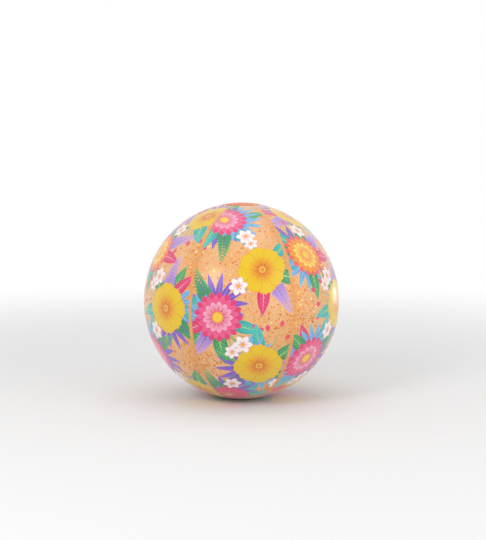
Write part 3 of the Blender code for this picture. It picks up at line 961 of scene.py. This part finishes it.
def rounded(corners, steps=5):
    """A closed outline from (radius, level, rounding) corners, each rounded off by a short curve."""
    line = []
    spots = [np.array(c[:2], float) for c in corners]
    for i, (_, _, rounding) in enumerate(corners):
        here, before, after = spots[i], spots[i - 1], spots[(i + 1) % len(spots)]
        if rounding == 0:
            line.append(here)
            continue
        start = here + rounding * (before - here) / np.linalg.norm(before - here)
        end = here + rounding * (after - here) / np.linalg.norm(after - here)
        for t in np.linspace(0, 1, steps):
            line.append((1 - t) ** 2 * start + 2 * t * (1 - t) * here + t * t * end)
    return line


def turned(shape, outline):
    """Spins a closed outline about the axis into the shape. Its corners on the axis become one point."""
    rings = []
    for radius, level in outline:
        if radius < 1e-6:
            rings.append([shape.verts.new(valve_place(0, 0, level))] * VALVE_SECTORS)
            continue
        turns = (2 * math.pi * i / VALVE_SECTORS for i in range(VALVE_SECTORS))
        rings.append([shape.verts.new(valve_place(radius * math.cos(t), radius * math.sin(t), level)) for t in turns])
    for ring, following in zip(rings, rings[1:] + rings[:1]):
        for i in range(VALVE_SECTORS):
            j = (i + 1) % VALVE_SECTORS
            corners = list(dict.fromkeys((ring[i], ring[j], following[j], following[i])))
            if len(corners) > 2:
                shape.faces.new(corners)


def slab(shape, outline, low, high, edge):
    """A plate of an (x, y) outline between two levels, with its rims drawn in by the edge."""
    spots = np.asarray(outline, float)
    way = np.roll(spots, -1, 0) - np.roll(spots, 1, 0)
    out = np.stack((way[:, 1], -way[:, 0]), 1) / np.linalg.norm(way, axis=1)[:, None]
    levels = [(edge, low), (edge * 0.3, low + edge * 0.3), (0, low + edge)]
    levels += [(0, high - edge), (edge * 0.3, high - edge * 0.3), (edge, high)]
    rings = [[shape.verts.new(valve_place(*spot, level)) for spot in spots - out * inset] for inset, level in levels]
    for ring, following in zip(rings, rings[1:]):
        for i in range(len(ring)):
            j = (i + 1) % len(ring)
            shape.faces.new((ring[i], ring[j], following[j], following[i]))
    shape.faces.new(rings[0][::-1])
    shape.faces.new(rings[-1])


def tongue(start, end, width, steps=10):
    """An (x, y) outline of a strip along y with a round end, anticlockwise."""
    turns = np.linspace(0, math.pi, steps)
    way = 1 if end > start else -1
    tip = [(width / 2 * math.cos(t), end - way * width / 2 + way * width / 2 * math.sin(t)) for t in turns]
    sides = np.linspace(start, end - way * width / 2, 6)[:-1]
    line = [(width / 2, y) for y in sides] + tip + [(-width / 2, y) for y in sides[::-1]]
    return line if way > 0 else line[::-1]


def bar(shape, centre, radius, width, steps=12):
    """A round bar across the valve, along x, at a (y, z) centre."""
    turns = [2 * math.pi * i / steps for i in range(steps)]
    ends = []
    for x, size in ((-width / 2, 0.7), (-width / 2 + 0.3 * radius, 1), (width / 2 - 0.3 * radius, 1), (width / 2, 0.7)):
        spots = [(centre[0] + size * radius * math.cos(t), centre[1] + size * radius * math.sin(t)) for t in turns]
        ends.append([shape.verts.new(valve_place(x, *spot)) for spot in spots])
    for ring, following in zip(ends, ends[1:]):
        for i in range(steps):
            j = (i + 1) % steps
            shape.faces.new((ring[i], ring[j], following[j], following[i]))
    shape.faces.new(ends[0])
    shape.faces.new(ends[-1][::-1])


def valve_piece(name, shape, finish, node):
    """Shows a valve shape in place of its CAD node."""
    bmesh.ops.recalc_face_normals(shape, faces=shape.faces[:])
    mesh = bpy.data.meshes.new(name)
    shape.to_mesh(mesh)
    shape.free()
    mesh.polygons.foreach_set("use_smooth", np.ones(len(mesh.polygons), bool))
    mesh.set_sharp_from_angle(angle=math.radians(48))
    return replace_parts(show(name, mesh, finish), node)


def make_flange(finish):
    shape = bmesh.new()
    top = -LAP_LIFT
    low = top - FLANGE_THICKNESS
    inner, outer = FLANGE_RADII
    ribs = [(r, low - 0.12 * (i % 2), 0) for i, r in enumerate(np.arange(inner + 1, outer - 1, 0.5))]
    turned(shape, rounded([(outer, top, 0.2), (inner, top, 0.2), (inner, low, 0.2), *ribs, (outer, low, 0.25)]))
    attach(valve_piece("valve_flange_ring", shape, finish, "valve_flange"), "ball")


def make_skirt(finish):
    """The folded ring between flange and stem, let into both, with the soft ripples of a worked fold."""
    start = np.array((FLANGE_RADII[0] - 0.5, SKIRT_TOP))
    end = np.array((STEM_WALL + 0.5, SKIRT_END))
    share = np.linspace(0, 1, 40)
    middle = (start[0] + end[0]) / 2 + (start[0] - end[0]) / 2 * np.cos(math.pi * share)
    level = start[1] + (end[1] - start[1]) * share - SKIRT_DEPTH * np.sin(math.pi * share)
    level += 0.1 * np.sin(10 * math.pi * share) * np.sin(math.pi * share)
    line = np.stack((middle, level), 1)
    line = np.concatenate(([start + (0.8, 0)], line, [end - (0.6, 0)]))
    way = np.gradient(line, axis=0)
    side = SKIRT_THICKNESS / 2 * np.stack((-way[:, 1], way[:, 0]), 1) / np.linalg.norm(way, axis=1)[:, None]
    shape = bmesh.new()
    turned(shape, [*(line + side), *(line - side)[::-1]])
    made = valve_piece("valve_skirt_fold", shape, finish, "valve_skirt")
    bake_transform(made)


def make_stem(finish):
    """A moulded tube with a rim, grip rings, a foot and the ear that carries the strap."""
    shape = bmesh.new()
    low = RIM_TOP - RIM_THICKNESS
    grips = []
    for level in (-10.3, -11.4):
        grips += [(STEM_WALL, level + 0.4, 0.1), (STEM_WALL + 0.35, level + 0.15, 0.12)]
        grips += [(STEM_WALL + 0.35, level - 0.15, 0.12), (STEM_WALL, level - 0.4, 0.1)]
    bead = [(STEM_BORE + 1.2, RIM_TOP, 0.1), (STEM_BORE + 1.6, RIM_TOP + 0.14, 0.15), (STEM_BORE + 2.0, RIM_TOP, 0.1)]
    outline = [(STEM_BORE, RIM_TOP, 0.45), *bead, (RIM_RADIUS, RIM_TOP, 0.5), (RIM_RADIUS, low, 0.5)]
    outline += [(STEM_WALL, low, 0.4), *grips, (STEM_WALL, FOOT_LOW + 1.4, 0.3), (FOOT_RADIUS, FOOT_LOW + 1.4, 0.35)]
    outline += [(FOOT_RADIUS, FOOT_LOW, 0.35), (STEM_BORE, FOOT_LOW, 0.3)]
    turned(shape, rounded(outline))
    slab(shape, tongue(STEM_BORE + 1.75, HINGE_REACH + 0.7, EAR_WIDTH), RIM_TOP - 1.5, RIM_TOP - 0.3, 0.3)
    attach(valve_piece("valve_stem_tube", shape, finish, "valve_stem"), "valve_stem")


def make_plug(finish):
    """A dished cap with a hollow stub below it and a ribbed tab to lift it by."""
    shape = bmesh.new()
    top = PLUG_LOW + PLUG_THICKNESS
    tip = PLUG_LOW - STUB_LENGTH
    dish = [(0, top - 0.45, 0), (2.6, top - 0.45, 0.6), (3.9, top - 0.05, 0.5), (4.6, top + 0.02, 0.3)]
    rim = [(PLUG_RADIUS, top - 0.1, 0.55), (PLUG_RADIUS, PLUG_LOW, 0.35)]
    stub = [(STUB_ROOT, PLUG_LOW, 0.2), (STUB_ROOT - 0.05, tip + 2.3, 0.2), (STUB_ROOT - 0.2, tip + 1.4, 0.3)]
    hollow = [(STUB_TIP, tip, 0.4), (1.8, tip, 0.25), (1.7, tip + 2.8, 0.4), (0, tip + 3.0, 0)]
    turned(shape, rounded([*dish, *rim, *stub, *hollow]))
    low, high = PLUG_LOW, PLUG_LOW + 0.9
    slab(shape, tongue(0.6 - PLUG_RADIUS, -TAB_REACH, TAB_WIDTH), low, high, 0.28)
    for y in (-7.4, -8.2, -9.0):
        bar(shape, (y, high - 0.02), 0.2, TAB_WIDTH * 0.62)
    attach(valve_piece("valve_plug_cap", shape, finish, "valve_plug"), "valve_plug")


def make_strap(finish):
    """The plug's tether: a root block on the stem's ear, a thin bend and a strip to the cap."""
    shape = bmesh.new()
    rows = []
    bend_start, bend_end = HINGE_REACH - 0.05, HINGE_REACH - 1.6
    for y in (*np.linspace(HINGE_REACH + 0.6, bend_start, 4), *np.linspace(bend_start, bend_end, 9)[1:],
              *np.linspace(bend_end, PLUG_RADIUS - 0.4, 6)[1:]):
        thin = math.exp(-(((y - HINGE_REACH + 0.8) / 0.5) ** 2))
        high = STRAP_MIDDLE + STRAP_THICKNESS / 2 * (1 - 0.35 * thin)
        low = STRAP_MIDDLE - STRAP_THICKNESS / 2 * (1 - 0.35 * thin)
        if y > bend_start - 0.01:
            low = RIM_TOP - 0.4
        half = STRAP_WIDTH / 2 * (1 - 0.12 * thin)
        section = [(half - 0.2, low), (half, low + 0.2), (half, high - 0.2), (half - 0.2, high)]
        section += [(-x, z) for x, z in section[::-1]]
        rows.append([shape.verts.new(valve_place(x, y, z)) for x, z in section])
    for row, following in zip(rows, rows[1:]):
        for i in range(len(row)):
            j = (i + 1) % len(row)
            shape.faces.new((row[i], row[j], following[j], following[i]))
    shape.faces.new(rows[0])
    shape.faces.new(rows[-1][::-1])
    made = valve_piece("plug_strap_tether", shape, finish, "plug_strap")
    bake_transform(made)


def make_flap(finish):
    """The check flap: a thin disc with a raised rim that hangs from a round hinge bar."""
    shape = bmesh.new()
    top, low = FLAP_MIDDLE + 0.25, FLAP_MIDDLE - 0.25
    disc_line = [(0, top, 0), (3.2, top, 0.3), (3.7, top + 0.12, 0.2), (4.1, top, 0.3), (FLAP_RADIUS, top, 0.2)]
    disc_line += [(FLAP_RADIUS, low, 0.2), (1.6, low, 0.5), (1.2, low - 0.35, 0.4), (0, low - 0.35, 0)]
    turned(shape, rounded(disc_line))
    lug = [(2.3, -3.2), (2.3, -5.9), (-2.3, -5.9), (-2.3, -3.2)][::-1]
    slab(shape, lug, low + 0.02, top - 0.02, 0.08)
    bar(shape, (-FLAP_REACH, FLAP_MIDDLE), 0.58, 4.6)
    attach(valve_piece("check_flap_disc", shape, finish, "check_flap"), "check_flap")


# Finishes


class Finish:
    """A node material that is built up step by step round one Principled shader."""

    def __init__(self, name, **settings):
        self.made = bpy.data.materials.new(name)
        self.made.use_nodes = True
        self.tree = self.made.node_tree
        self.shader = self.tree.nodes["Principled BSDF"]
        for socket, value in settings.items():
            self.shader.inputs[socket.replace("_", " ")].default_value = value

    def node(self, kind, inputs=None, **properties):
        made = self.tree.nodes.new(kind)
        for key, value in properties.items():
            setattr(made, key, value)
        for key, value in (inputs or {}).items():
            if isinstance(value, bpy.types.NodeSocket):
                self.tree.links.new(value, made.inputs[key])
            else:
                made.inputs[key].default_value = value
        return made

    def attribute(self, name):
        return self.node("ShaderNodeAttribute", attribute_name=name)

    def noise(self, scale, detail=2.0, roughness=0.5):
        place = self.node("ShaderNodeTexCoord").outputs["Object"]
        inputs = {"Vector": place, "Scale": scale, "Detail": detail, "Roughness": roughness}
        return self.node("ShaderNodeTexNoise", inputs).outputs["Fac"]

    def specks(self, scale, reach):
        """Soft spots of many sizes in about half the cells: glitter on the far side of the film."""
        place = self.node("ShaderNodeTexCoord").outputs["Object"]
        cells = self.node("ShaderNodeTexVoronoi", {"Vector": place, "Scale": scale})
        spot = self.span(cells.outputs["Distance"], SPECK_SHARE, 0, reach * 0.4, reach)
        picked = self.node("ShaderNodeSeparateColor", {"Color": cells.outputs["Color"]}).outputs["Red"]
        return self.sums("MULTIPLY", spot, self.sums("GREATER_THAN", picked, 0.5))

    def span(self, value, low, high, start=0.0, end=1.0):
        inputs = {"Value": value, "From Min": start, "From Max": end, "To Min": low, "To Max": high}
        return self.node("ShaderNodeMapRange", inputs).outputs["Result"]

    def sums(self, operation, first, second):
        return self.node("ShaderNodeMath", {0: first, 1: second}, operation=operation).outputs[0]

    def mix(self, share, first, second):
        made = self.node("ShaderNodeMix", data_type="RGBA")
        for index, value in ((0, share), (6, first), (7, second)):
            if isinstance(value, bpy.types.NodeSocket):
                self.tree.links.new(value, made.inputs[index])
            else:
                made.inputs[index].default_value = value
        return made.outputs[2]

    def feed(self, socket, value):
        self.tree.links.new(value, self.shader.inputs[socket])

    def bump(self, height, strength, distance):
        inputs = {"Height": height, "Strength": strength, "Distance": distance}
        self.feed("Normal", self.node("ShaderNodeBump", inputs).outputs["Normal"])


def film_finish(name, pale, deep, printed):
    """Milky vinyl film, a little uneven in tint and gloss, with print where the gore has it."""
    gloss, sheen = FILM_GLOSS if printed else CAP_GLOSS
    finish = Finish(name, IOR=1.5, Specular_IOR_Level=gloss, Sheen_Weight=sheen, Sheen_Roughness=0.6)
    tint = finish.mix(finish.span(finish.noise(14, 3), 0, 1, 0.3, 0.7), pale, deep)
    if printed:
        gathered = finish.sums("MULTIPLY", finish.attribute("seam").outputs["Fac"], finish.noise(60, 2))
        tint = finish.mix(finish.span(gathered, 0, 0.9, 0.05, 0.5), tint, PEACH_SEAM)
    for scale, reach, colour in (DEEP_SPECKS, FINE_SPECKS) if printed else (CAP_SPECKS,):
        tint = finish.mix(finish.specks(scale, reach), tint, colour)
    smear = finish.span(finish.noise(45, 4, 0.6), FILM_ROUGHNESS - 0.03, FILM_ROUGHNESS + 0.04, 0.3, 0.7)
    peel = finish.noise(520, 2)
    if not printed:
        ring = finish.sums("MULTIPLY", finish.attribute("weld").outputs["Fac"], finish.noise(220, 2))
        tint = finish.mix(ring, tint, ORANGE_WELD)
        finish.feed("Base Color", tint)
        finish.feed("Roughness", smear)
        finish.shader.inputs["Transmission Weight"].default_value = FILM_CLEAR
        finish.bump(peel, 0.12, 0.0004)
        return finish.made
    ink_layer = finish.attribute("print")
    cover = ink_layer.outputs["Alpha"]
    weave = finish.span(finish.noise(900, 2), 0.93, 1.05, 0.3, 0.7)
    inked = finish.node("ShaderNodeVectorMath", {0: ink_layer.outputs["Color"], 1: weave}, operation="MULTIPLY")
    finish.feed("Base Color", finish.mix(cover, tint, inked.outputs[0]))
    finish.feed("Transmission Weight", finish.span(cover, FILM_CLEAR, INK_CLEAR))
    finish.feed("Roughness", finish.sums("ADD", smear, finish.span(cover, 0, 0.07)))
    turns = finish.sums("MULTIPLY", finish.attribute("along").outputs["Fac"], 2 * math.pi / WELD_RIB)
    wave = finish.node("ShaderNodeMath", {0: turns}, operation="SINE").outputs[0]
    weld = finish.sums("MULTIPLY", wave, finish.attribute("weld").outputs["Fac"])
    height = finish.sums("ADD", finish.sums("MULTIPLY", peel, 0.5), finish.sums("MULTIPLY", weld, 0.35))
    finish.bump(height, 0.25, 0.0004)
    return finish.made


def vinyl_finish():
    """Soft milky moulded vinyl."""
    finish = Finish("milky_vinyl", IOR=1.5, Transmission_Weight=0.12)
    tint = finish.mix(finish.span(finish.noise(160, 3), 0, 1, 0.3, 0.7), VINYL_PALE, VINYL_DEEP)
    finish.feed("Base Color", tint)
    finish.feed("Roughness", finish.span(finish.noise(420, 3), 0.26, 0.38, 0.3, 0.7))
    finish.bump(finish.noise(1500, 2), 0.1, 0.0002)
    return finish.made


def glitter_finish():
    """Foil flakes from pale gold through orange to copper."""
    finish = Finish("foil_flakes", Metallic=0.85, Specular_IOR_Level=0.5)
    ramp = finish.node("ShaderNodeValToRGB", {"Fac": finish.attribute("tone").outputs["Fac"]})
    for i, (share, colour) in enumerate(FOIL_SHADES):
        stop = ramp.color_ramp.elements[i] if i < 2 else ramp.color_ramp.elements.new(share)
        stop.position, stop.color = share, colour
    finish.feed("Base Color", ramp.outputs["Color"])
    finish.feed("Roughness", finish.span(finish.noise(900, 1), 0.22, 0.4, 0.3, 0.7))
    return finish.made


# Studio


def area_light(name, at, size, energy, colour=(1, 1, 1)):
    """A soft lamp that looks at the ball's centre."""
    lamp = bpy.data.lights.new(name, "AREA")
    lamp.shape = "RECTANGLE"
    lamp.size, lamp.size_y = size
    lamp.energy = energy
    lamp.color = colour
    made = bpy.data.objects.new(name, lamp)
    made.location = at
    made.rotation_euler = (CENTRE - made.location).to_track_quat("-Z", "Y").to_euler()
    bpy.context.scene.collection.objects.link(made)


def seen_rays(nodes, links):
    """1 for rays that show the background: those of the camera, of gloss and of clear film."""
    path = nodes.new("ShaderNodeLightPath")
    total = None
    for ray in ("Is Camera Ray", "Is Glossy Ray", "Is Transmission Ray"):
        if total is None:
            total = path.outputs[ray]
            continue
        add = nodes.new("ShaderNodeMath")
        add.operation = "MAXIMUM"
        links.new(total, add.inputs[0])
        links.new(path.outputs[ray], add.inputs[1])
        total = add.outputs[0]
    return total


def make_floor():
    """A pale floor that takes the shadow near the ball and runs out into the white background."""
    finish = bpy.data.materials.new("studio_floor")
    finish.use_nodes = True
    nodes, links = finish.node_tree.nodes, finish.node_tree.links
    shader = nodes["Principled BSDF"]
    shader.inputs["Base Color"].default_value = FLOOR_COLOUR
    shader.inputs["Roughness"].default_value = 0.9
    shader.inputs["Specular IOR Level"].default_value = 0.1
    glow = nodes.new("ShaderNodeEmission")
    glow.inputs["Strength"].default_value = 1.0
    place = nodes.new("ShaderNodeTexCoord")
    reach = nodes.new("ShaderNodeVectorMath")
    reach.operation = "LENGTH"
    links.new(place.outputs["Object"], reach.inputs[0])
    fade = nodes.new("ShaderNodeMapRange")
    fade.interpolation_type = "SMOOTHSTEP"
    fade.inputs["From Min"].default_value, fade.inputs["From Max"].default_value = FLOOR_FADE
    links.new(reach.outputs["Value"], fade.inputs["Value"])
    share = nodes.new("ShaderNodeMath")
    share.operation = "MULTIPLY"
    links.new(fade.outputs["Result"], share.inputs[0])
    links.new(seen_rays(nodes, links), share.inputs[1])
    mixed = nodes.new("ShaderNodeMixShader")
    links.new(share.outputs[0], mixed.inputs["Fac"])
    links.new(shader.outputs["BSDF"], mixed.inputs[1])
    links.new(glow.outputs["Emission"], mixed.inputs[2])
    links.new(mixed.outputs["Shader"], nodes["Material Output"].inputs["Surface"])
    shape = bmesh.new()
    bmesh.ops.create_circle(shape, cap_ends=True, radius=FLOOR_RADIUS, segments=96)
    mesh = bpy.data.meshes.new("floor")
    shape.to_mesh(mesh)
    shape.free()
    mesh.materials.append(finish)
    floor = bpy.data.objects.new("floor", mesh)
    bpy.context.scene.collection.objects.link(floor)


def make_world():
    world = bpy.data.worlds.new("studio")
    bpy.context.scene.world = world
    world.use_nodes = True
    nodes, links = world.node_tree.nodes, world.node_tree.links
    fill = nodes["Background"]
    fill.inputs["Color"].default_value = (1, 1, 1, 1)
    fill.inputs["Strength"].default_value = WORLD_LIGHT
    white = nodes.new("ShaderNodeBackground")
    white.inputs["Color"].default_value = (1, 1, 1, 1)
    white.inputs["Strength"].default_value = 1.0
    mixed = nodes.new("ShaderNodeMixShader")
    links.new(seen_rays(nodes, links), mixed.inputs["Fac"])
    links.new(fill.outputs[0], mixed.inputs[1])
    links.new(white.outputs[0], mixed.inputs[2])
    links.new(mixed.outputs[0], nodes["World Output"].inputs["Surface"])


def make_camera():
    """Puts the ball where the photograph shows it, at the same size in the frame."""
    lens = bpy.data.cameras.new("camera")
    lens.lens = CAMERA_LENS
    lens.sensor_width = SENSOR
    camera = bpy.data.objects.new("camera", lens)
    rise = math.radians(CAMERA_RISE)
    camera.location = CENTRE + CAMERA_DISTANCE * Vector((0, -math.cos(rise), math.sin(rise)))
    pixels = CAMERA_LENS / SENSOR * FRAME_SIZE[1]
    up = math.atan((BALL_PIXEL[1] - FRAME_SIZE[1] / 2) / pixels)
    right = math.atan((FRAME_SIZE[0] / 2 - BALL_PIXEL[0]) / pixels)
    camera.rotation_euler = (math.pi / 2 - rise + up, 0, -right)
    bpy.context.scene.collection.objects.link(camera)
    bpy.context.scene.camera = camera


def make_studio():
    make_floor()
    make_world()
    make_camera()
    for name, (at, size, energy) in LAMPS.items():
        area_light(name, at, size, energy)
    bpy.context.scene.view_settings.view_transform = "Standard"


FRONTS = make_gores(film_finish("peach_film", PEACH_PALE, PEACH_DEEP, True))
make_caps(film_finish("pole_film", ORANGE_PALE, ORANGE_DEEP, False))
CHANCE = np.random.default_rng(SEED)
FOIL = glitter_finish()
make_film_glitter(FOIL, FRONTS, CHANCE)
make_drift(FOIL, CHANCE)
VINYL = vinyl_finish()
for make in (make_flange, make_skirt, make_stem, make_plug, make_strap, make_flap):
    make(VINYL)
make_studio()
